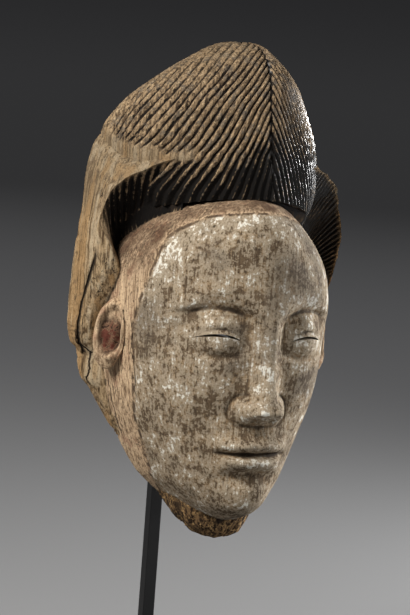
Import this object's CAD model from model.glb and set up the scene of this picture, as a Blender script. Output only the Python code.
import math

import bmesh
import bpy
import numpy as np
from mathutils import Matrix, Vector


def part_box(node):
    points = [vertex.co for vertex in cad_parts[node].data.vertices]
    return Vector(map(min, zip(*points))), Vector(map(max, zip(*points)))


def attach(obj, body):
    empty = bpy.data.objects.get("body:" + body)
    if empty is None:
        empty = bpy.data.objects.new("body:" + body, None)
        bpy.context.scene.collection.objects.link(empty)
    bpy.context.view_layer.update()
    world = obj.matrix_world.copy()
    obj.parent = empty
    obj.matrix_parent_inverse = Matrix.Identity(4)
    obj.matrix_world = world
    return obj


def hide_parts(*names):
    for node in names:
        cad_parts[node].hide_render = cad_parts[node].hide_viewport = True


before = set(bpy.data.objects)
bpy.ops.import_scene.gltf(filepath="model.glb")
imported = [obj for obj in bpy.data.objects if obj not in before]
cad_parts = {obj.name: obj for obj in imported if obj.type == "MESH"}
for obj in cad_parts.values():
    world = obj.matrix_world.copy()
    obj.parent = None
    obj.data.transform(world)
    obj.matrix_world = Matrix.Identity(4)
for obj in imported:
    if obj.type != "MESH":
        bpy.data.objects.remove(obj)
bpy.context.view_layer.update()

# The mask is carved from one block of pale wood: a face coloured with white clay, a tall crest of
# blackened hair, a lobe of hair at each side and a rough collar behind the jaw. It is worked here in
# millimetres from its lowest point and its flat back. Left and right are as seen from the front.
mask_low, mask_high = (np.array(corner) * 1000 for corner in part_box("mask"))
mask_place = np.array((0, mask_high[1], mask_low[2]))
MASK_HEIGHT = mask_high[2] - mask_low[2]
HEAD_HALF_WIDTH = 71.5
WALL = 12
PAST_BACK = 6


def mix(start, end, share):
    return start + (end - start) * share


def smooth(value, low, high):
    share = np.clip((value - low) / (high - low), 0, 1)
    return share * share * (3 - 2 * share)


def bell(value, spread):
    return np.exp(-((value / spread) ** 2))


def dome(x, z, half_width, half_height):
    """A round swelling, 1 in its middle and 0 from its rim outwards."""
    return np.maximum(1 - (x / half_width) ** 2 - (z / half_height) ** 2, 0) ** 1.6


def run(*keys):
    """A smooth run through a few (place, value) pairs."""
    places, values = np.array(keys, float).T
    after = np.minimum(np.arange(len(keys)) + 1, len(keys) - 1)
    before = np.maximum(np.arange(len(keys)) - 1, 0)
    slopes = (values[after] - values[before]) / (places[after] - places[before])

    def at(place):
        place = np.clip(place, places[0], places[-1])
        low = np.clip(np.searchsorted(places, place) - 1, 0, len(places) - 2)
        span = places[low + 1] - places[low]
        share = (place - places[low]) / span
        hold = share * (1 - share) * span
        sway = (1 - share) * slopes[low] - share * slopes[low + 1]
        return mix(values[low], values[low + 1], share * share * (3 - 2 * share)) + hold * sway

    return at


def knots(points, size, seed):
    """Smooth random values from -1 to 1, in lumps of this size in millimetres along each axis."""
    side = 24
    table = np.random.default_rng(seed).uniform(-1, 1, (side, side, side))
    place = points / np.array(size, float)
    cell = np.floor(place).astype(int)
    share = place - cell
    share = share * share * (3 - 2 * share)
    total = np.zeros(len(points))
    for corner in np.ndindex(2, 2, 2):
        weight = np.prod(np.where(corner, share, 1 - share), axis=1)
        total += weight * table[tuple(((cell + corner) % side).T)]
    return total


def stack(x, y, z):
    return np.stack(np.broadcast_arrays(x, y, z), axis=1).astype(float)


def put_in_scene(name, data):
    made = bpy.data.objects.new(name, data)
    bpy.context.scene.collection.objects.link(made)
    return made


def mesh_of(name, shape):
    """The mesh of a finished shape, which is used up."""
    mesh = bpy.data.meshes.new(name)
    shape.to_mesh(mesh)
    shape.free()
    return mesh


def vectors_of(mesh, word):
    flat = np.empty(len(mesh.vertices) * 3, np.float32)
    mesh.vertices.foreach_get(word, flat)
    return flat.reshape(-1, 3).astype(float)


def read(mesh, word):
    values = np.empty(len(mesh.vertices), np.float32)
    mesh.attributes[word].data.foreach_get("value", values)
    return values.astype(float)


def write(mesh, word, values):
    layer = mesh.attributes.get(word) or mesh.attributes.new(word, "FLOAT", "POINT")
    layer.data.foreach_set("value", np.float32(values))


SURFACES = ("groove", "bare", "skin", "hair")


def form(name, mesh, surface):
    """An object for one carved form, which says of each point what the surface there is like."""
    for word, share in {**dict.fromkeys(SURFACES, 0), **surface, "known": 1}.items():
        write(mesh, word, np.broadcast_to(share, len(mesh.vertices)))
    return put_in_scene(name, mesh)


def whittled_ball(name, around, down, place):
    """A ball whose points are moved. The columns run from the left over the front to the right and
    behind, and the rows from the top. place gives the points and what the surface there is like."""
    ball = bmesh.new()
    bmesh.ops.create_uvsphere(ball, u_segments=around, v_segments=down, radius=1)
    mesh = mesh_of(name, ball)
    x, y, z = vectors_of(mesh, "co").T
    row = np.rint(np.arctan2(np.hypot(x, y), z) / math.pi * down)
    column = np.rint((np.arctan2(y, x) / (2 * math.pi) + 0.5) * around) % around
    points, surface = place(column, row)
    mesh.vertices.foreach_set("co", (points * 0.001).astype(np.float32).ravel())
    return form(name, mesh, surface)


BACK_COLUMNS = 4


def section(across, height, half_width, front, centre, back, roundness):
    """A level section: a rounded front, then straight sides to the flat back."""
    turn = math.pi * across + 0.21 * np.sin(2 * math.pi * across)
    cosine, sine = np.cos(turn), np.sin(turn)
    x = -half_width * np.sign(cosine) * np.abs(cosine) ** (2 / roundness)
    y = centre + (front - centre) * np.sign(sine) * np.abs(sine) ** (2 / roundness)
    behind = across > 1
    x = np.where(behind, half_width * np.clip(6 - 4 * across, -1, 1), x)
    return stack(x, np.where(behind, back, y), height)


def across_of(column, front):
    return np.where(column <= front, column / front, 1 + (column - front) / BACK_COLUMNS)


# The face. It is 1.35 times as tall as it is wide, thirds place its brows and the foot of its nose, and
# the lids are nearly closed. The carver smoothed it and rubbed white clay into it.
HAIRLINE = 209
FACE_HEIGHT = 1.35 * 2 * HEAD_HALF_WIDTH
CHIN = HAIRLINE - FACE_HEIGHT
FACE_THIRD = FACE_HEIGHT / 3
BROW = CHIN + 2 * FACE_THIRD
NOSE_BASE = CHIN + FACE_THIRD
MOUTH = NOSE_BASE - FACE_THIRD / 3
EYE_LINE = BROW - 0.21 * FACE_THIRD
EYE_MIDDLE = 0.405 * HEAD_HALF_WIDTH
EYE_HALF_WIDTH = 0.185 * HEAD_HALF_WIDTH
SLIT_DROP = 4
SLIT_BOW = 2.8
bridge_rise = run((NOSE_BASE - 4, 0), (NOSE_BASE, 9), (NOSE_BASE + 4, 16.5), (NOSE_BASE + 9, 16),
                  (NOSE_BASE + 22, 11.5), (NOSE_BASE + 42, 6.4), (BROW - 6, 4), (BROW + 14, 0))


def arch_lift(side, row):
    """Rows of the face are lifted over the eyes, so that brows and lids are arched."""
    return 8.5 * bell(side - EYE_MIDDLE, 21) * bell(row - BROW, 16)


def face_relief(side, row):
    """What stands on the face or is cut into it, in millimetres forward of the plain head."""
    brow_row = row - BROW + 3
    brow = 2.4 * bell(brow_row, np.where(brow_row > 0, 7.5, 2.4))
    brow = brow * smooth(side, 1, 9) * (1 - smooth(side, 46, 58))
    eye_side = side - EYE_MIDDLE
    brow = brow - 1.1 * bell(brow_row + 3.4, 1.1) * dome(eye_side, 0, 27, 1)
    socket = -7.4 * dome(eye_side + 2, row - EYE_LINE - 1, 28, 19) * smooth(side, 4, 13)
    lid = 9.6 * dome(eye_side - 0.5, row - EYE_LINE + 3, 19, 13.5)
    slit_row = row - EYE_LINE + SLIT_DROP - SLIT_BOW * (1 - (eye_side / EYE_HALF_WIDTH) ** 2)
    lid_edge = 0.9 * bell(slit_row - 2.4, 1.5) * dome(eye_side, 0, EYE_HALF_WIDTH + 5, 1)
    lid_cut = -1.6 * bell(slit_row, 1.2) * dome(eye_side, 0, EYE_HALF_WIDTH + 5, 1)
    under_lid = -1.4 * bell(row - EYE_LINE + 14 - 0.012 * eye_side**2, 2.2) * dome(eye_side, 0, 20, 1)
    nose_half = mix(9.4, 6.4, smooth(row, NOSE_BASE, BROW - 12))
    nose = bridge_rise(row) * np.exp(-((side / nose_half) ** 2.6))
    wing = 8.4 * dome(side - 10.5, row - NOSE_BASE - 5.5, 8.5, 9.5)
    wing_fold = -0.9 * bell(np.hypot(side - 9, row - NOSE_BASE - 5) - 10.5, 1.3) * smooth(side, 9, 15)
    nostril = -4 * dome(side - 6, row - NOSE_BASE - 1, 4.5, 4)
    muzzle = 4 * dome(side, row - MOUTH - 2, 38, 27)
    lip_reach = np.sqrt(np.maximum(1 - (side / 24) ** 2, 0))
    upper_lip = 5.6 * bell(row - MOUTH - 4.8 - 0.8 * bell(side - 5, 5), 4) * lip_reach
    lower_lip = 6.2 * bell(row - MOUTH + 5.4, 4.9) * np.sqrt(np.maximum(1 - (side / 20) ** 2, 0))
    parting = -4.6 * bell(row - MOUTH, 1.8) * lip_reach
    philtrum = -1.2 * bell(side, 3) * dome(0, row - MOUTH - 13.5, 1, 9)
    under_lip = -3 * dome(side, row - MOUTH + 15, 24, 8)
    chin = 5 * dome(side, row - CHIN - 13, 25, 20)
    cheek = 3.6 * dome(side - 40, row - NOSE_BASE - 22, 26, 34)
    eye = socket + lid + lid_edge + lid_cut + under_lid
    mouth = muzzle + upper_lip + lower_lip + parting + philtrum + under_lip
    return brow + eye + nose + wing + wing_fold + nostril + mouth + chin + cheek


# The head behind the face is egg-shaped, and leans a little to the left above the brows.
FACE_SLOPE = math.tan(math.radians(8))
FOREHEAD_DEPTH = 106
HEAD_LOW = CHIN - 2
HEAD_TOP = 210
HEAD_WIDEST = 148


def wide(share):
    return share * HEAD_HALF_WIDTH


def face_line(level):
    """The depth of the profile, which slopes back evenly from the brows to the chin."""
    return FACE_SLOPE * (BROW - level) - FOREHEAD_DEPTH + 1


head_half_width = run((HEAD_LOW, wide(0.16)), (CHIN, wide(0.25)), (CHIN + 4, wide(0.36)),
                      (CHIN + 11, wide(0.47)), (mix(CHIN, MOUTH, 0.5), wide(0.61)), (MOUTH, wide(0.76)),
                      (NOSE_BASE, wide(0.88)), (mix(NOSE_BASE, EYE_LINE, 0.5), wide(0.95)),
                      (EYE_LINE, wide(0.99)), (HEAD_WIDEST, HEAD_HALF_WIDTH), (163, 68.5), (176, 61.5),
                      (187, 52), (199, 38), (206, 25), (HEAD_TOP, 10))
head_front = run((HEAD_LOW, face_line(HEAD_LOW) + 21), (CHIN, face_line(CHIN) + 15),
                 (CHIN + 4, face_line(CHIN + 4) + 7.5), (CHIN + 11, face_line(CHIN + 11) + 1.5),
                 (MOUTH, face_line(MOUTH)), (BROW, face_line(BROW)), (170, -FOREHEAD_DEPTH),
                 (186, -105), (197, -102), (204, -97), (208, -91.5), (HEAD_TOP, -84))
head_centre = run((130, PAST_BACK), (HEAD_WIDEST, -4), (163, -17), (187, -31), (199, -41),
                  (HEAD_TOP, -62))
head_lean = run((150, 0), (199, -4.5), (HEAD_TOP, -5))


def carve_head():
    front, fine_rows, coarse_rows = 160, 134, 40
    fine_top = HEAD_LOW + fine_rows
    last = fine_rows + coarse_rows

    def place(column, row):
        up = np.clip(last + 1 - row, 0, last)
        coarse = np.clip((up - fine_rows) / coarse_rows, 0, 1)
        level = np.where(up <= fine_rows, HEAD_LOW + up,
                         mix(fine_top, HEAD_TOP, 1 - (1 - coarse) ** 1.5))
        roundness = mix(2.25, 2, smooth(level, 130, 165))
        points = section(across_of(column, front), level, head_half_width(level), head_front(level),
                         head_centre(level), PAST_BACK, roundness)
        side = np.abs(points[:, 0])
        ahead = smooth(-points[:, 1], 36, 60)
        relief = face_relief(side, level)
        points[:, 0] += head_lean(level)
        points[:, 2] += arch_lift(side, level) * ahead
        points[:, 1] -= relief * ahead
        end = (row == 0) | (row == last + 2)
        points[end] = stack(0, -30, level[end])
        return points, {"skin": 1}

    return whittled_ball("head", front + BACK_COLUMNS, last + 2, place)


# Each side lobe hangs from the crest to below the ear. It is set out like a fan about a point in the
# cheek: these are the reach and the depth of its hairline and rim, and the reach of its back, by the
# fan's angle in degrees from straight up.
FAN_SIDE = 40
FAN_HEIGHT = 118
FAN_SPREAD = 108
LEFT_SWELL = 6
hair_reach = run((0, 88), (6, 85.5), (15.4, 75), (24.7, 67), (35, 59.5), (46, 51), (62, 43.5),
                 (80, 38), (FAN_SPREAD, 31))
hair_depth = run((0, -55), (6, -38), (15.4, -23), (24.7, -15), (35, -11.5), (46, -10), (62, -8),
                 (FAN_SPREAD, -4))
rim_reach = run((0, 114), (9, 110.5), (15, 106.5), (21, 100.5), (29, 87), (36, 74), (44, 62.5),
                (55, 53), (73, 46), (90, 43), (FAN_SPREAD, 39))
rim_depth = run((0, -63), (9, -52), (15, -43), (21, -36), (29, -31), (36, -28), (44, -23), (55, -16),
                (73, -10), (FAN_SPREAD, -5))
back_reach = run((0, 126), (11, 130), (16, 130), (20, 118.5), (25.5, 97), (32, 81), (39, 71.5),
                 (50, 60.5), (60, 55.5), (73, 51), (88, 47), (98, 44), (FAN_SPREAD, 39))


# The crest swells over the head like half a boat set on end, and its ridge is a cut seam. Strands
# of hair were gouged on both sides of it, and meet there like the barbs of a feather.
CREST_HALF_WIDTH = 68.5
CREST_DEPTH = 89
STRAND_PITCH = 6.2
STRAND_CUT = 2.4
SEAM_TO_RIGHT = 4.5
SEAM_MIDDLE = -27
SWELL_FROM = 216
crest_half_width = run((150, 0), (180, 40), (192, 53), (205, 62), (214, 66), (224, 68),
                       (233, CREST_HALF_WIDTH), (244, 67.5), (254, 63), (271, 50.5), (285, 36),
                       (296, 20.5), (302, 10), (MASK_HEIGHT, 0))
crest_lean = run((205, 0), (240, -4.3), (265, -4.6), (280, -2.6), (292, -1), (MASK_HEIGHT, 1))


def crest_reach(points):
    """How far points lie out from the inside of the crest, where 1 is its skin."""
    x, y, z = points.T
    rise = np.clip((z - SWELL_FROM) / (MASK_HEIGHT - SWELL_FROM), 0, 1)
    seam_half = (CREST_DEPTH + SEAM_MIDDLE) * (1 - rise**2.7) ** (1 / 2.7)
    middle = mix(0, SEAM_MIDDLE, smooth(z, 244, 294))
    end = np.where(y < middle, SEAM_MIDDLE - seam_half, SEAM_MIDDLE + seam_half)
    gap = np.where(np.abs(end - middle) < 1e-6, 1e-6, end - middle)
    half_width = np.maximum(crest_half_width(z), 1e-6)
    return (np.abs(x) / half_width) ** 1.5 + ((y - middle) / gap) ** 2


def reach_skin(middle, direction):
    near, far = np.zeros(len(middle)), np.full(len(middle), 160.0)
    for _ in range(24):
        half = (near + far) / 2
        inside = crest_reach(middle + direction * half[:, None]) < 1
        near, far = np.where(inside, half, near), np.where(inside, far, half)
    return near


def gouge(strand, sharpness):
    """How deep the tool went, from 0 on a strand's back to 1 between strands."""
    return (1 - 2 * np.abs((strand + 0.5) % 1 - 0.5)) ** sharpness


def skin_normals(points):
    """Which way the skin of the crest faces."""
    steps = 0.5 * np.eye(3)
    slopes = [crest_reach(points + step) - crest_reach(points - step) for step in steps]
    slopes = np.stack(slopes, axis=1)
    return slopes / np.maximum(np.linalg.norm(slopes, axis=1, keepdims=True), 1e-9)


def carve_crest():
    around, rings = 280, 190
    slope = math.radians(36)
    down = np.array((0, math.cos(slope), -math.sin(slope)))
    lowest = np.array((0, -58, 187))
    climb = np.array((0, math.sin(slope), math.cos(slope)))

    def place(column, row):
        ring = np.clip(rings + 1 - row, 0, rings)
        share = ring / rings
        middle = lowest + 123 * climb * share[:, None]
        turn = 2 * math.pi * (column / around - 0.25)
        turn = turn - 0.25 * np.sin(turn)
        fall = mix(1.05, 0.35, smooth(share, 0.5, 1))
        direction = stack(np.sin(turn), 0, 0) - np.cos(turn)[:, None] * down
        direction -= (fall * np.abs(np.sin(turn)))[:, None] * climb
        direction /= np.linalg.norm(direction, axis=1, keepdims=True)
        points = middle + direction * reach_skin(middle, direction)[:, None]
        x, y, z = points.T
        low_down = smooth(z, 245, 205)
        comb = np.where(x < 0, mix(-1.6, -1.3, low_down) * x - 0.008 * x**2, 1.5 * x - 0.004 * x**2)
        sweep = 0.66 * y + 0.75 * z - 0.35 * np.minimum(z - 235, 0) + 0.013 * np.maximum(y + 38, 0) ** 2
        strand = (sweep + comb) / STRAND_PITCH + 0.3 * knots(points, (22, 22, 22), 3)
        strand = strand + 0.1 * knots(points, (7, 7, 12), 6)
        depth = gouge(strand, mix(mix(0.9, 1.7, smooth(z, 215, 245)), 1.0, smooth(x, 0, 20)))
        worn = smooth(z - 0.45 * x + 14 * knots(points, (20, 20, 20), 4), 284, 314)
        worn = np.maximum(worn, smooth(y, -14, 8))
        fan = np.degrees(np.arctan2(-x - FAN_SIDE, z - FAN_HEIGHT))
        reach = np.hypot(x + FAN_SIDE, z - FAN_HEIGHT)
        behind_rim = np.clip((y - rim_depth(fan)) / (PAST_BACK - rim_depth(fan)), 0, 1)
        shelf = mix(rim_reach(fan), back_reach(fan), behind_rim)
        shelf = shelf + 3 * knots(points, (9, 9, 9), 5)
        eroded = smooth(reach, shelf + 7, shelf + 1) * smooth(reach, rim_reach(fan) - 3, rim_reach(fan))
        eroded = eroded * smooth(-x, 34, 46)
        seam = 0.75 * bell(turn, 0.02) * smooth(z, 214, 236)
        uneven = 0.88 + 0.16 * knots(points, (9, 9, 9), 7)
        cut = STRAND_CUT * depth * uneven * mix(1, 0.45, worn) * (1 - eroded) + 1.1 * seam
        groove = np.maximum(depth * mix(1, 0.8, worn) * (1 - eroded), seam)
        points = points - skin_normals(points) * cut[:, None]
        half_width = np.maximum(crest_half_width(points[:, 2]), 1)
        outward_share = np.minimum(np.abs(points[:, 0]) / half_width, 1)
        points[:, 0] += crest_lean(points[:, 2]) + SEAM_TO_RIGHT * (1 - outward_share**2)
        end = (row == 0) | (row == rings + 2)
        points[end] = middle[end]
        return points, {"hair": 1, "groove": groove, "bare": np.maximum(0.3 * worn, eroded)}

    return whittled_ball("crest", around, rings + 2, place)


# In front, the hair ends above the forehead in an arch, with shadow behind its edge.
HAIR_ARCH_HALF_WIDTH = 92
HAIR_ARCH_RISE = 67
HAIR_ARCH_HEIGHT = 143


def cut_arch():
    arch = bmesh.new()
    bmesh.ops.create_cone(arch, cap_ends=True, cap_tris=True, segments=160, radius1=1, radius2=1,
                          depth=2)
    bmesh.ops.rotate(arch, verts=arch.verts, matrix=Matrix.Rotation(math.pi / 2, 3, "X"))
    long_edges = [edge for edge in arch.edges if abs(edge.verts[0].co.y - edge.verts[1].co.y) > 1]
    bmesh.ops.subdivide_edges(arch, edges=long_edges, cuts=30, use_grid_fill=True)
    for vertex in arch.verts:
        x, y, z = vertex.co
        x = x * HAIR_ARCH_HALF_WIDTH - 3
        back = mix(-42, -62, smooth(x, -20, 15)) + 18 * smooth(-x, 36, 56)
        y = float(mix(-142, back, (y + 1) / 2))
        vertex.co = Vector((x, y, z * HAIR_ARCH_RISE + HAIR_ARCH_HEIGHT)) * 0.001
    return form("arch", mesh_of("arch", arch), {"hair": 1, "groove": 1})


# The front of a lobe is scooped and grooved from the cheek outwards, and its outer wall is bare,
# straight-grained wood. On the left the lower half has lost its grooves and swells a little.
def carve_lobe(side, grooves, steps, cut, shoulder):
    root_steps, front_steps, wall_steps = 5, 16, 9
    around = root_steps + front_steps + wall_steps + 3
    last = steps * grooves

    def place(column, row):
        along = row if side > 0 else last + 2 - row
        ring = np.clip(along - 1, 0, last)
        end = (row == 0) | (row == last + 2)
        fan = FAN_SPREAD * ring / last
        angle = np.radians(fan)
        chip = 1.6 * knots(stack(fan, 0, 0), (6, 9, 9), 11 + side)
        chip = chip + 0.9 * knots(stack(fan, 5, 0), (2, 9, 9), 13)
        chip = chip * mix(1, 0.3, smooth(fan, 24, 50))
        wander = 0.2 * knots(stack(fan, column, 0), (9, 9, 9), 14)
        depth = gouge(ring / steps + wander, 1.3)
        out = np.clip((column - root_steps) / front_steps, 0, 1)
        back = np.clip((column - front_steps - root_steps) / wall_steps, 0, 1)
        filled = smooth(fan, 22, 34) * (side < 0)
        rim = rim_reach(fan) + chip
        rear = back_reach(fan) - shoulder * bell(fan - 13, 8) + 0.4 * chip
        lip = rim_depth(fan) - 0.8 * chip
        gouged = depth * smooth(out, 0, 0.15) * (1 - smooth(out, 0.93, 1)) * (1 - filled)
        crevice = smooth(fan, 32, 44) * (side < 0) * bell(out - 0.82, 0.1)
        inner = mix(hair_depth(fan), rim_depth(fan) - LEFT_SWELL, filled)
        reach = np.where(back > 0, mix(rim, rear, back), mix(hair_reach(fan), rim, out))
        scooped = mix(inner, lip, out**1.3) + cut * gouged + 1.6 * crevice
        deep = np.where(back > 0, mix(lip, PAST_BACK, back), scooped)
        rooted = column < root_steps
        reach = np.where(rooted, hair_reach(fan) - 18 * (1 - column / root_steps), reach)
        deep = np.where(rooted, inner, deep)
        behind = column > root_steps + front_steps + wall_steps
        reach = np.where(behind, hair_reach(fan) - np.where(column == around - 2, 4, 20), reach)
        deep = np.where(behind, PAST_BACK, deep)
        reach = np.where(end, hair_reach(fan), reach)
        deep = np.where(end, 0, deep)
        outward = FAN_SIDE + reach * np.sin(angle)
        points = stack(side * outward, deep, FAN_HEIGHT + reach * np.cos(angle))
        bare = np.maximum(smooth(out, 0.9, 1), smooth(back, 0, 0.08))
        bare = np.maximum(bare, filled * (1 - crevice))
        shaded = np.maximum(gouged, 0.6 * crevice)
        shaded = np.maximum(shaded, 0.9 * (column <= root_steps) * (1 - filled))
        return points, {"hair": 1, "groove": np.where(back > 0, 0, shaded), "bare": bare}

    return whittled_ball("lobe", around, last + 2, place)


# The collar runs behind the jaw from lobe to lobe and stands out below the chin, left rough.
COLLAR_TOP = 136
collar_half_width = run((0, 6), (1.5, 12.5), (4, 17), (12, 24), (23, 29.5), (34, 37), (46, 46),
                        (57, 53.5), (66, 60), (76, 66), (85, 71.5), (92, 77.5), (107, 80), (128, 76),
                        (COLLAR_TOP, 66))
collar_front = run((0, -50), (1.5, -54), (4, -57), (12, -61), (23, -64), (34, -61), (46, -53),
                   (62, -38), (75, -29), (90, -24), (110, -20), (COLLAR_TOP, -14))
collar_lean = run((4, 2.5), (30, 0))
back_depth = run((0, -44), (14, -34), (36, -21), (66, -9), (90, -4), (110, 0))


def carve_collar():
    front, down = 96, 90

    def place(column, row):
        height = COLLAR_TOP * (1 - np.clip(row - 1, 0, down) / down) ** 1.3
        back = back_depth(height) + 8
        points = section(across_of(column, front), height, collar_half_width(height),
                         collar_front(height), back, back, 2.7)
        points[:, 0] += collar_lean(height)
        end = (row == 0) | (row == down + 2)
        points[end] = stack(0, mix(collar_front(height), back, 0.5)[end], height[end])
        return points, {"bare": 1}

    return whittled_ball("collar", front + BACK_COLUMNS, down + 2, place)


# The ears are flat shells turned a little to the front, with a rim round a hollow that was reddened.
EAR_HEIGHT = mix(NOSE_BASE, BROW, 0.65)
EAR_DEPTH = -31


def carve_ear(side):
    around, down = 96, 64

    def place(column, row):
        tip, turn = math.pi * row / down, 2 * math.pi * column / around
        out, fore, up = -np.sin(tip) * np.cos(turn), -np.sin(tip) * np.sin(turn), np.cos(tip)
        face = smooth(side * out, 0.1, 0.45)
        fore, up = fore * 11, up * 22
        bowl = (1 - smooth(np.hypot((fore + 1) / 8.8, (up - 2) / 18), 0.62, 0.98)) * face
        ridge = 1.5 * bell(np.hypot(fore + 4, (up + 4) * 0.6) - 5.5, 1.5) * face * smooth(up, 8, -6)
        notch = dome(fore + 9, up + 7, 6, 11) * face
        worn = 0.9 * knots(stack(fore, up, side * 9), (4, 6, 9), 51)
        away = side * (7 * side * out - 5.0 * bowl - 3.5 * notch + ridge + worn)
        lean, swing = math.radians(8), math.radians(35)
        y = fore * math.cos(lean) - up * math.sin(lean)
        z = EAR_HEIGHT + up * math.cos(lean) + fore * math.sin(lean)
        x = away * math.cos(swing) + side * y * math.sin(swing)
        y = EAR_DEPTH - side * away * math.sin(swing) + y * math.cos(swing)
        points = stack(side * (HEAD_HALF_WIDTH - 1) + x, y, z)
        return points, {"skin": 1, "groove": bowl * (1 - smooth(up, 4, 15))}

    return whittled_ball("ear", around, down, place)


# The back is flat down to the ears and hollowed to fit over a face, with a thin slit at each eye.
HOLLOW_LOW = 34
HOLLOW_TOP = 236
HOLLOW_MIDDLE = np.array((0, 6, 128))
hollow_half_width = run((HOLLOW_LOW, 8), (40, 20), (55, 33), (75, 45), (100, 53),
                        (128, HEAD_HALF_WIDTH - WALL), (152, HEAD_HALF_WIDTH - WALL - 2), (170, 50),
                        (186, 41), (205, 33), (220, 25), (231, 14), (HOLLOW_TOP, 4))
hollow_depth = run((HOLLOW_LOW, -50), (40, -62), (55, -72), (75, -79), (100, -84), (128, -88),
                   (152, -91), (167, -87), (180, -76), (192, -56), (204, -34), (220, -18), (231, -8),
                   (HOLLOW_TOP, 0))


def scoop_hollow():
    front, down, mouth = 64, 60, 12

    def place(column, row):
        share = 1 - np.clip(row - 1, 0, down) / down
        height = mix(HOLLOW_LOW, HOLLOW_TOP, share + 0.04 * np.sin(2 * math.pi * share))
        points = section(across_of(column, front), height, hollow_half_width(height),
                         hollow_depth(height), mouth, mouth, 2.2)
        adze = np.abs(knots(points, (9, 9, 16), 21))
        points = points + (HOLLOW_MIDDLE - points) * (0.018 * adze)[:, None]
        end = (row == 0) | (row == down + 2)
        points[end] = stack(0, -10, height[end])
        return points, {}

    return whittled_ball("hollow", front + BACK_COLUMNS, down + 2, place)


def drawn_out(shape):
    """The points that can be moved away once the faces of a flat shape are drawn out to a solid."""
    solid = bmesh.ops.extrude_face_region(shape, geom=list(shape.faces))
    return {item for item in solid["geom"] if isinstance(item, bmesh.types.BMVert)}


def saw_back():
    reach, beyond = 100, 80
    plank = bmesh.new()
    bmesh.ops.create_grid(plank, x_segments=56, y_segments=96, size=1)
    lifted = drawn_out(plank)
    for vertex in plank.verts:
        height = mix(-20, MASK_HEIGHT + 20, (vertex.co.y + 1) / 2)
        depth = beyond if vertex in lifted else float(back_depth(height))
        vertex.co = Vector((vertex.co.x * reach, depth, height)) * 0.001
    bmesh.ops.recalc_face_normals(plank, faces=plank.faces)
    return form("sawn_back", mesh_of("sawn_back", plank), {})


def pierce_eye(side):
    gape, steps = 1.8, 24
    near, far = -55, -125
    blade = bmesh.new()
    bmesh.ops.create_circle(blade, cap_ends=True, segments=2 * steps, radius=1)
    lifted = drawn_out(blade)
    for vertex in blade.verts:
        along, up = vertex.co.x, vertex.co.y
        lift = (SLIT_BOW + math.copysign(gape / 2, up) * (abs(up) > 0.01)) * (1 - along * along)
        depth = far if vertex in lifted else near
        x = side * (EYE_MIDDLE + 0.5) + along * EYE_HALF_WIDTH
        vertex.co = Vector((x, depth, EYE_LINE - SLIT_DROP + lift)) * 0.001
    bmesh.ops.recalc_face_normals(blade, faces=blade.faces)
    return form("eye_slit", mesh_of("eye_slit", blade), {"skin": 1, "groove": 1})


def worked(block, *steps):
    """The block after each (operation, tool) in turn. The tools are used up."""
    for operation, tool in steps:
        step = block.modifiers.new(operation, "BOOLEAN")
        step.solver = "MANIFOLD"
        step.operation = operation
        step.object = tool
    finished = block.evaluated_get(bpy.context.evaluated_depsgraph_get())
    mesh = bpy.data.meshes.new_from_object(finished)
    for used in [block] + [tool for _, tool in steps]:
        bpy.data.objects.remove(used)
    return mesh


def drop_crumbs(mesh, fewest_points):
    """Loose chips that the joins left are swept away."""
    shape = bmesh.new()
    shape.from_mesh(mesh)
    waiting = set(shape.verts)
    while waiting:
        chip = {waiting.pop()}
        edge_of_chip = list(chip)
        while edge_of_chip:
            vertex = edge_of_chip.pop()
            found = {edge.other_vert(vertex) for edge in vertex.link_edges} - chip
            chip |= found
            edge_of_chip += found
        waiting -= chip
        if len(chip) < fewest_points:
            bmesh.ops.delete(shape, geom=list(chip), context="VERTS")
    shape.to_mesh(mesh)
    shape.free()


# Head, hair, collar and ears are joined to one block, and the rest is cut out of it.
mask_mesh = worked(
    carve_head(),
    ("UNION", put_in_scene("crest_cut", worked(carve_crest(), ("DIFFERENCE", cut_arch())))),
    ("UNION", carve_collar()),
    ("UNION", carve_lobe(-1, grooves=42, steps=6, cut=1.8, shoulder=0)),
    ("UNION", carve_lobe(1, grooves=66, steps=5, cut=1.1, shoulder=9)),
    ("UNION", carve_ear(-1)),
    ("UNION", carve_ear(1)),
    ("DIFFERENCE", scoop_hollow()),
    ("DIFFERENCE", saw_back()),
    ("DIFFERENCE", pierce_eye(-1)),
    ("DIFFERENCE", pierce_eye(1)),
)
drop_crumbs(mask_mesh, fewest_points=100)
mask = put_in_scene("carved_mask", mask_mesh)


def edge_ends(mesh):
    flat = np.empty(len(mesh.edges) * 2, np.int32)
    mesh.edges.foreach_get("vertices", flat)
    return flat.reshape(-1, 2)


def neighbour_mean(values, ends):
    """The mean of each point's neighbours."""
    total = np.zeros_like(values)
    count = np.zeros(len(values))
    for here, there in (ends.T, ends.T[::-1]):
        np.add.at(total, here, values[there])
        np.add.at(count, here, 1)
    return total / np.maximum(count, 1).reshape((-1,) + (1,) * (values.ndim - 1))


# Age has split the wood along its grain, rounded its edges and eaten its surface. The points that
# the joins made take what they know from their neighbours first.
ends = edge_ends(mask_mesh)
known = read(mask_mesh, "known")
surface = {word: read(mask_mesh, word) for word in SURFACES}
for _ in range(3):
    share = neighbour_mean(known, ends)
    for word in SURFACES:
        spread = neighbour_mean(surface[word] * known, ends) / np.maximum(share, 1e-6)
        surface[word] = np.where(known > 0.5, surface[word], np.where(share > 0, spread, surface[word]))
    known = np.where((known > 0.5) | (share > 0), 1.0, 0.0)

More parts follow.
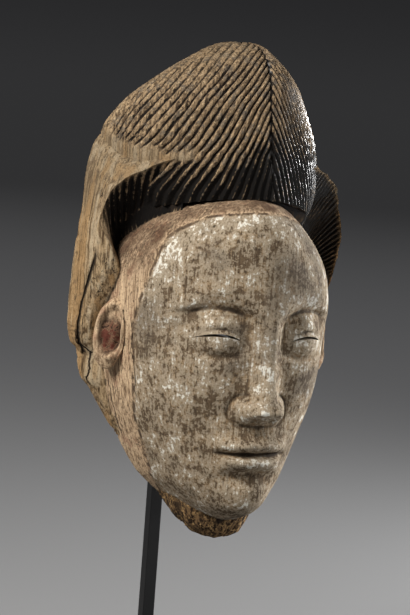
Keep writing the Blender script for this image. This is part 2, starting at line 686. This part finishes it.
places = vectors_of(mask_mesh, "co") * 1000
outward = vectors_of(mask_mesh, "normal")
x, y, z = places.T
fibre = knots(places, (4.2, 4.2, 60), 31) + 0.5 * knots(places, (2.6, 2.6, 30), 32)
pitting = np.maximum(knots(places, (4, 4, 9), 33) - 0.4, 0)
lumps = knots(places, (11, 11, 22), 34)
roughness = mix(mix(0.1, 0.11, surface["hair"]), 0.5, surface["bare"])
collar = surface["bare"] * (1 - surface["hair"])
wear = roughness * fibre + 0.4 * roughness * lumps - 1.6 * roughness * pitting
eaten = smooth(knots(places, (5, 5, 26), 36), 0.2, 0.6)
wear = wear + 0.5 * collar * knots(places, (4, 4, 8), 35) - 1.1 * collar * eaten
places = places + outward * wear[:, None]

hollowed = neighbour_mean(places, ends) - places
recess = np.einsum("ij,ij->i", hollowed, outward)
for _ in range(2):
    recess = 0.5 * recess + 0.5 * neighbour_mean(recess, ends)
broad = places.copy()
for _ in range(14):
    broad = neighbour_mean(broad, ends)
broad_recess = np.einsum("ij,ij->i", broad - places, outward)

# White clay was rubbed over the face inside an oval, and red earth between the oval and the hair.
FIELD_MIDDLE = 118
FIELD_HALF_HEIGHT = 84
FIELD_WIDTH_SHARE = 0.875
FIELD_SQUARENESS = 2.6
field_half_width = FIELD_WIDTH_SHARE * head_half_width(np.clip(z, CHIN, HEAD_WIDEST))
field_side = np.abs(x - head_lean(z) + 2) / field_half_width
field_rise = np.maximum(z - FIELD_MIDDLE, 0) / FIELD_HALF_HEIGHT
field = (field_side**FIELD_SQUARENESS + field_rise**FIELD_SQUARENESS) ** (1 / FIELD_SQUARENESS)
field = field + 0.012 * knots(places, (14, 14, 14), 41)
on_front = smooth(-y, 20, 40) * surface["skin"]
clay = (1 - smooth(field, 0.985, 1.01)) * on_front
clay_rim = smooth(field, 0.86, 0.97) * clay * smooth(z, 120, 160)
brow_band = smooth(field, 1.0, 1.03) * surface["skin"] * smooth(z, 150, 175)
ear_bowl = surface["groove"] * surface["skin"] * smooth(np.abs(x), 62, 66)
red = np.maximum(0.55 * brow_band, ear_bowl)
soot = 1 - smooth(z + 7 * knots(places, (15, 15, 15), 42) - 24 * smooth(x, -30, 10), 206, 236)
soot = surface["hair"] * (1 - surface["bare"]) * soot
for word, values in (
    ("groove", surface["groove"]),
    ("bare", surface["bare"]),
    ("skin", surface["skin"]),
    ("hair", surface["hair"]),
    ("recess", np.clip(recess * 3, -1, 1)),
    ("broad_recess", np.clip(broad_recess * 0.6, -1, 1)),
    ("clay", clay),
    ("clay_rim", clay_rim),
    ("red", red),
    ("field", np.where(surface["skin"] > 0.5, np.clip(field, 0, 2), 2)),
    ("soot", soot),
    ("sheen", surface["hair"] * smooth(x, -10, 25) * (1 - surface["bare"])),
):
    write(mask_mesh, word, values)
mask_mesh.attributes.remove(mask_mesh.attributes["known"])
mask_mesh.vertices.foreach_set("co", ((places + mask_place) * 0.001).astype(np.float32).ravel())
mask_mesh.shade_smooth()
mask_mesh.set_sharp_from_angle(angle=math.radians(55))
mask_mesh.update()


def add_node(tree, kind, settings=None, **inputs):
    """A node with its settings, and with each named input given a value or joined to a socket."""
    made = tree.nodes.new(kind)
    for name, value in (settings or {}).items():
        setattr(made, name, value)
    for name, value in inputs.items():
        plug(tree, made.inputs[name.replace("_", " ")], value)
    return made


def plug(tree, socket, value):
    if isinstance(value, bpy.types.NodeSocket):
        tree.links.new(value, socket)
    else:
        socket.default_value = value


def calculate(tree, operation, *values):
    made = add_node(tree, "ShaderNodeMath", {"operation": operation})
    for socket, value in zip(made.inputs, values):
        plug(tree, socket, value)
    return made.outputs[0]


def blend(tree, factor, first, second, way="MIX"):
    made = add_node(tree, "ShaderNodeMix", {"data_type": "RGBA", "blend_type": way})
    for index, value in ((0, factor), (6, first), (7, second)):
        plug(tree, made.inputs[index], value)
    return made.outputs[2]


def between(tree, value, low, high):
    """0 at low, 1 at high and smooth between, also where low is the greater."""
    made = add_node(tree, "ShaderNodeMapRange", {"interpolation_type": "SMOOTHSTEP"},
                    Value=value, From_Min=low, From_Max=high)
    return made.outputs[0]


def attribute(tree, word):
    return add_node(tree, "ShaderNodeAttribute", {"attribute_name": word}).outputs["Fac"]


def speckle(tree, vector, scale, detail=4, roughness=0.6):
    return add_node(tree, "ShaderNodeTexNoise", None, Vector=vector, Scale=scale, Detail=detail,
                    Roughness=roughness).outputs["Fac"]


def make_grain():
    """Straight grain along the height of the block: fine fibres, wide bands and open pores."""
    group = bpy.data.node_groups.new("upright_grain", "ShaderNodeTree")
    group.interface.new_socket("Vector", in_out="INPUT", socket_type="NodeSocketVector")
    for word in ("Fibres", "Bands", "Pores", "Splits"):
        group.interface.new_socket(word, in_out="OUTPUT", socket_type="NodeSocketFloat")
    entry, leave = group.nodes.new("NodeGroupInput"), group.nodes.new("NodeGroupOutput")
    coords = entry.outputs[0]

    def stretched(share):
        return add_node(group, "ShaderNodeMapping", None, Vector=coords, Scale=(1, 1, share)).outputs[0]

    long_way = stretched(0.04)
    plug(group, leave.inputs["Fibres"], speckle(group, long_way, 620, 5, 0.7))
    plug(group, leave.inputs["Bands"], speckle(group, long_way, 150, 3, 0.5))
    off_line = calculate(group, "SUBTRACT", speckle(group, long_way, 260, 3, 0.55), 0.5)
    line = between(group, calculate(group, "ABSOLUTE", off_line), 0.014, 0.004)
    open_here = between(group, speckle(group, coords, 60, 2, 0.5), 0.5, 0.58)
    plug(group, leave.inputs["Splits"], calculate(group, "MULTIPLY", line, open_here))
    pores = speckle(group, stretched(0.25), 1100, 2, 0.5)
    plug(group, leave.inputs["Pores"], between(group, pores, 0.62, 0.74))
    return group


upright_grain = make_grain()


def new_material(name):
    material = bpy.data.materials.new(name)
    material.use_nodes = True
    return material, material.node_tree, material.node_tree.nodes["Principled BSDF"]


def grain_of(tree):
    coords = add_node(tree, "ShaderNodeTexCoord").outputs["Object"]
    grain = add_node(tree, "ShaderNodeGroup", {"node_tree": upright_grain}, Vector=coords)
    return (coords, *(grain.outputs[word] for word in ("Fibres", "Bands", "Pores", "Splits")))


def crack_mask(tree, coords, depth, low, high, half_width):
    """A split up the left side of the block, placed in millimetres as the mask is."""
    places = add_node(tree, "ShaderNodeSeparateXYZ", None, Vector=coords).outputs
    upright = add_node(tree, "ShaderNodeMapping", None, Vector=coords, Scale=(0, 0, 1)).outputs[0]
    drift = calculate(tree, "MULTIPLY_ADD", speckle(tree, upright, 60, 4, 0.6), 0.012, -0.006)
    from_line = calculate(tree, "SUBTRACT", drift, (depth + mask_place[1]) * 0.001)
    off = calculate(tree, "ADD", places["Y"], from_line)
    open_here = between(tree, calculate(tree, "ABSOLUTE", off), half_width * 0.001, half_width * 0.0003)
    foot, head = ((height + mask_place[2]) * 0.001 for height in (low, high))
    for place, outside, inside in ((places["Z"], foot, foot + 0.008), (places["Z"], head, head - 0.008),
                                   (places["X"], -0.05, -0.054)):
        open_here = calculate(tree, "MULTIPLY", open_here, between(tree, place, outside, inside))
    return open_here


def paint_mask():
    """Old wood under clay, earth and soot. What each point is like comes from the carving."""
    material, tree, shader = new_material("worn_painted_wood")
    coords, fibres, bands, pores, splits = grain_of(tree)
    groove, bare, skin, hair = (attribute(tree, word) for word in ("groove", "bare", "skin", "hair"))
    recess, broad, clay = (attribute(tree, word) for word in ("recess", "broad_recess", "clay"))
    smoke = speckle(tree, coords, 24, 3, 0.5)
    patches = speckle(tree, coords, 75, 5, 0.6)
    blotches = speckle(tree, coords, 170, 4, 0.6)
    flakes = speckle(tree, coords, 430, 5, 0.7)
    dust = speckle(tree, coords, 950, 3, 0.7)

    def over(base, colour, share, strength=1.0):
        if strength != 1.0:
            share = calculate(tree, "MULTIPLY", share, strength)
        return blend(tree, share, base, (*colour, 1))

    def where(value, low, high):
        return between(tree, value, low, high)

    def total(*parts):
        """The sum of each value, less its middle, times its weight."""
        summed = 0.0
        for value, weight, middle in parts:
            part = calculate(tree, "MULTIPLY_ADD", value, weight, -weight * middle)
            summed = calculate(tree, "ADD", summed, part)
        return summed

    streaks = where(fibres, 0.38, 0.60)
    straw = blend(tree, streaks, (0.10, 0.063, 0.032, 1), (0.37, 0.268, 0.155, 1))
    straw = over(straw, (0.33, 0.20, 0.088), where(bands, 0.53, 0.58), 0.6)
    straw = over(straw, (0.50, 0.41, 0.28), where(bands, 0.44, 0.39), 0.5)
    straw = over(straw, (0.025, 0.015, 0.009), where(fibres, 0.40, 0.33), 0.9)
    straw = over(straw, (0.13, 0.085, 0.05), where(blotches, 0.56, 0.66), 0.6)
    height_up = add_node(tree, "ShaderNodeSeparateXYZ", None, Vector=coords).outputs["Z"]
    straw = over(straw, (0.10, 0.078, 0.052), where(height_up, 0.305, 0.345), 0.45)
    tan = blend(tree, streaks, (0.08, 0.053, 0.031, 1), (0.30, 0.21, 0.122, 1))
    tan = over(tan, (0.11, 0.094, 0.075), where(blotches, 0.52, 0.60), 0.65)
    tan = over(tan, (0.42, 0.31, 0.185), where(flakes, 0.55, 0.62), 0.8)
    tan = over(tan, (0.03, 0.021, 0.015), where(flakes, 0.44, 0.37), 0.9)
    bark = blend(tree, where(fibres, 0.42, 0.56), (0.022, 0.013, 0.008, 1), (0.19, 0.115, 0.055, 1))
    bark_ridges = total((flakes, 1, 0), (fibres, 0.5, 0.5))
    bark = over(bark, (0.40, 0.255, 0.115), where(bark_ridges, 0.54, 0.60), 0.85)
    bark = over(bark, (0.02, 0.013, 0.009), where(patches, 0.46, 0.38), 0.75)

    black = (0.005, 0.0042, 0.0036)
    blackening = total((groove, 1, 0), (attribute(tree, "soot"), 0.55, 0), (flakes, 1.5, 0.5),
                       (patches, 1.0, 0.5))
    hair_black = calculate(tree, "MULTIPLY", where(blackening, 0.42, 0.64),
                           calculate(tree, "MULTIPLY_ADD", bare, -0.6, 1.0))
    hair_colour = over(blend(tree, bare, tan, straw), black, hair_black)

    ground = blend(tree, where(patches, 0.42, 0.58), (0.12, 0.083, 0.05, 1), (0.30, 0.205, 0.115, 1))
    ground = over(ground, (0.05, 0.034, 0.022), where(fibres, 0.44, 0.36), 0.65)
    ground = over(ground, (0.035, 0.025, 0.017), where(flakes, 0.42, 0.36), 0.7)
    cover = total((patches, 1.8, 0.5), (flakes, 2.6, 0.5), (fibres, 1.8, 0.5), (broad, -0.3, 0),
                  (attribute(tree, "clay_rim"), 0.24, 0))
    clusters = total((cover, 1, 0), (patches, 1.2, 0.5))
    film = calculate(tree, "MULTIPLY", where(cover, -0.14, 0.0), clay)
    thick = calculate(tree, "MULTIPLY", where(clusters, 0.44, 0.54), clay)
    face_colour = over(over(ground, (0.345, 0.285, 0.205), film, 0.8), (0.68, 0.65, 0.57), thick)
    face_colour = over(face_colour, (0.075, 0.062, 0.05), where(smoke, 0.52, 0.66), 0.45)
    temple = blend(tree, where(fibres, 0.38, 0.58), (0.24, 0.158, 0.094, 1), (0.56, 0.41, 0.262, 1))
    temple = over(temple, (0.30, 0.165, 0.105), where(patches, 0.54, 0.66), 0.55)
    temple = over(temple, (0.10, 0.062, 0.038), where(flakes, 0.44, 0.36), 0.7)
    temple = over(temple, (0.06, 0.038, 0.024), where(fibres, 0.41, 0.35), 0.6)
    red = attribute(tree, "red")
    earth = total((red, 1, 0), (patches, 1.8, 0.5))
    temple = over(temple, (0.15, 0.09, 0.052), where(earth, 0.3, 0.8), 0.85)
    skin_colour = blend(tree, clay, temple, face_colour)
    reddening = total((red, 1, 0), (flakes, 2.2, 0.5), (blotches, 2.2, 0.5))
    skin_colour = over(skin_colour, (0.095, 0.030, 0.020), where(reddening, 0.6, 1.2), red)
    skin_colour = over(skin_colour, (0.03, 0.014, 0.010), where(reddening, 0.85, 0.65), red)
    field_edge = calculate(tree, "ABSOLUTE", calculate(tree, "SUBTRACT", attribute(tree, "field"), 1.0))
    scored = calculate(tree, "MULTIPLY", where(field_edge, 0.010, 0.003), where(blotches, 0.42, 0.54))
    skin_colour = over(skin_colour, (0.05, 0.032, 0.021), scored, 0.85)

    ragged_height = total((height_up, 1, 0), (patches, 0.15, 0.5))
    rough_wood = blend(tree, where(ragged_height, 0.165, 0.205), bark, straw)
    colour = blend(tree, skin, rough_wood, skin_colour)
    colour = blend(tree, hair, colour, hair_colour)
    dirt = calculate(tree, "MAXIMUM", where(recess, 0.12, 0.7), where(broad, 0.25, 0.9))
    dirt = calculate(tree, "MULTIPLY", dirt, calculate(tree, "MULTIPLY_ADD", red, -0.9, 1.0))
    colour = over(colour, (0.02, 0.014, 0.01), dirt, 0.85)
    colour = over(colour, (0.03, 0.02, 0.014), pores, 0.5)
    cracks = calculate(tree, "MULTIPLY", splits, calculate(tree, "MULTIPLY_ADD", clay, -0.75, 0.95))
    for depth, foot, head, half_width in ((-47, 82, 136, 0.4), (-8, 84, 124, 0.8), (-20, 40, 96, 0.6)):
        crack = crack_mask(tree, coords, depth, foot, head, half_width)
        cracks = calculate(tree, "MAXIMUM", cracks, crack)
    colour = over(colour, (0.014, 0.009, 0.006), cracks)
    grit = calculate(tree, "MULTIPLY", where(dust, 0.53, 0.61), 0.55)
    colour = blend(tree, grit, colour, (0.35, 0.31, 0.27, 1), "MULTIPLY")
    plug(tree, shader.inputs["Base Color"], colour)
    sheen = attribute(tree, "sheen")
    gloss = calculate(tree, "MULTIPLY_ADD", sheen, -0.36, 0.84)
    plug(tree, shader.inputs["Roughness"], calculate(tree, "MULTIPLY_ADD", fibres, 0.1, gloss))
    plug(tree, shader.inputs["Coat Weight"], calculate(tree, "MULTIPLY", sheen, 0.6))
    shader.inputs["Coat Roughness"].default_value = 0.28
    shader.inputs["Specular IOR Level"].default_value = 0.12

    height = total((fibres, 0.8, 0), (flakes, 0.25, 0), (pores, -0.5, 0), (splits, -1.2, 0),
                   (cracks, -1.5, 0), (thick, 0.35, 0), (scored, -0.8, 0))
    bump = add_node(tree, "ShaderNodeBump", None, Strength=0.5, Distance=0.0009, Height=height)
    plug(tree, shader.inputs["Normal"], bump.outputs[0])
    return material


mask_mesh.materials.clear()
mask_mesh.materials.append(paint_mask())
mask_mesh.polygons.foreach_set("material_index", np.zeros(len(mask_mesh.polygons), np.int32))
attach(mask, "root")
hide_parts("mask")


# The stand is black painted steel: a square bar that carries the mask from inside its hollow, welded
# to a flat plate. The edges are eased by the file and the paint.
def painted_steel():
    material, tree, shader = new_material("satin_black_paint")
    coords = add_node(tree, "ShaderNodeTexCoord").outputs["Object"]
    cloud = speckle(tree, coords, 60, 4)
    orange_peel = speckle(tree, coords, 1800, 2)
    colour = blend(tree, cloud, (0.006, 0.006, 0.0065, 1), (0.012, 0.012, 0.0125, 1))
    plug(tree, shader.inputs["Base Color"], colour)
    plug(tree, shader.inputs["Roughness"], calculate(tree, "MULTIPLY_ADD", cloud, 0.14, 0.36))
    shader.inputs["Specular IOR Level"].default_value = 0.25
    bump = add_node(tree, "ShaderNodeBump", None, Strength=0.12, Distance=0.0002, Height=orange_peel)
    plug(tree, shader.inputs["Normal"], bump.outputs[0])
    return material


steel_paint = painted_steel()


def eased_copy(node, name, width):
    """A copy of a steel piece of the frame with its sharp edges eased by this width in metres."""
    steel = bmesh.new()
    steel.from_mesh(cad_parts[node].data)
    bmesh.ops.remove_doubles(steel, verts=steel.verts, dist=1e-5)
    bmesh.ops.dissolve_limit(steel, angle_limit=math.radians(1), verts=steel.verts, edges=steel.edges)
    sharp = [edge for edge in steel.edges if edge.calc_face_angle(0) > math.radians(40)]
    bmesh.ops.bevel(steel, geom=sharp, offset=width, segments=2, profile=0.5, affect="EDGES")
    piece = put_in_scene(name, mesh_of(name, steel))
    piece.data.materials.append(steel_paint)
    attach(piece, "root")
    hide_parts(node)


EASED_EDGE = 0.0005
eased_copy("stand_rod", "square_rod", EASED_EDGE)
eased_copy("stand_base", "foot_plate", EASED_EDGE)


# The floor is plain and pale, and runs out into the dark of the room. Both fade with distance in
# metres, the light that the floor throws back and the faint glow that stands for the room's.
FLOOR_HALF_WIDTH = 60
ROOM_COLOUR = (0.030, 0.030, 0.031, 1)
floor_sheet = bmesh.new()
bmesh.ops.create_grid(floor_sheet, x_segments=1, y_segments=1, size=FLOOR_HALF_WIDTH)
floor = put_in_scene("floor", mesh_of("floor", floor_sheet))
floor_material, floor_tree, floor_shader = new_material("pale_floor")
floor_coords = add_node(floor_tree, "ShaderNodeTexCoord").outputs["Object"]
distance = add_node(floor_tree, "ShaderNodeVectorMath", {"operation": "LENGTH"},
                    Vector=floor_coords).outputs["Value"]
nearness = between(floor_tree, distance, 5.5, 0.2)
floor_colour = blend(floor_tree, nearness, (0, 0, 0, 1), (0.20, 0.20, 0.20, 1))
plug(floor_tree, floor_shader.inputs["Base Color"], floor_colour)
glow_nearness = between(floor_tree, distance, 9, 0.5)
glow_colour = blend(floor_tree, glow_nearness, ROOM_COLOUR, (0.085, 0.085, 0.087, 1))
plug(floor_tree, floor_shader.inputs["Emission Color"], glow_colour)
floor_shader.inputs["Emission Strength"].default_value = 1
floor_shader.inputs["Specular IOR Level"].default_value = 0
floor_shader.inputs["Roughness"].default_value = 1
floor.data.materials.append(floor_material)

# Soft studio light: the key from the upper left, a broad weak fill from the front, a small light at
# the right that draws the edge of the hair, and a little from above.
AIM = Vector((0, -0.016, 0.278))


def away_from_aim(turn, rise):
    """The direction that is turned this far from the front and rises this much, in radians."""
    return Vector((math.sin(turn) * math.cos(rise), -math.cos(turn) * math.cos(rise), math.sin(rise)))


def soft_light(name, azimuth, elevation, distance, size, power, warmth=(1, 1, 1)):
    data = bpy.data.lights.new(name, "AREA")
    data.size = size
    data.energy = power
    data.color = warmth
    lamp = put_in_scene(name, data)
    away = away_from_aim(math.radians(azimuth), math.radians(elevation))
    lamp.location = AIM + away * distance
    lamp.rotation_mode = "QUATERNION"
    lamp.rotation_quaternion = (-away).to_track_quat("-Z", "Y")


soft_light("key", -72, 34, 1.1, 0.35, 17.5, (1, 0.97, 0.93))
soft_light("fill", 32, 15, 1.6, 0.9, 10)
soft_light("edge", 94, 7, 1.2, 0.2, 22)
soft_light("top", -20, 80, 1.3, 0.8, 3)
world = bpy.data.worlds.new("room")
world.use_nodes = True
sky = add_node(world.node_tree, "ShaderNodeTexCoord").outputs["Generated"]
height = add_node(world.node_tree, "ShaderNodeSeparateXYZ", None, Vector=sky).outputs["Z"]
above_horizon = between(world.node_tree, height, 0, 0.06)
sky_colour = blend(world.node_tree, above_horizon, ROOM_COLOUR, (0.02, 0.02, 0.021, 1))
plug(world.node_tree, world.node_tree.nodes["Background"].inputs["Color"], sky_colour)
bpy.context.scene.world = world
bpy.context.scene.view_settings.view_transform = "Standard"

# The camera stands a little to the left and somewhat above the eyes, and leans as the photo does.
# The aim is moved off the middle of the picture by so many of the picture's own dots.
AZIMUTH, ELEVATION, ROLL = math.radians(-26), math.radians(5), math.radians(4.3)
DISTANCE = 1.406
LENS = 135
SENSOR_WIDTH = 36
PICTURE_LONG_SIDE = 615
AIM_RIGHT, AIM_UP = 26, 21.5
back = away_from_aim(AZIMUTH, ELEVATION)
right = Vector((math.cos(AZIMUTH), math.sin(AZIMUTH), 0))
up = back.cross(right)
dot = DISTANCE / (LENS / SENSOR_WIDTH * PICTURE_LONG_SIDE)
leaned_right = right * math.cos(ROLL) + up * math.sin(ROLL)
leaned_up = up * math.cos(ROLL) - right * math.sin(ROLL)
camera_data = bpy.data.cameras.new("camera")
camera_data.lens = LENS
camera_data.sensor_width = SENSOR_WIDTH
camera_data.clip_start = 0.05
camera = put_in_scene("camera", camera_data)
camera.matrix_world = Matrix((leaned_right, leaned_up, back)).transposed().to_4x4()
camera.location = AIM + back * DISTANCE - (right * AIM_RIGHT + up * AIM_UP) * dot
bpy.context.scene.camera = camera
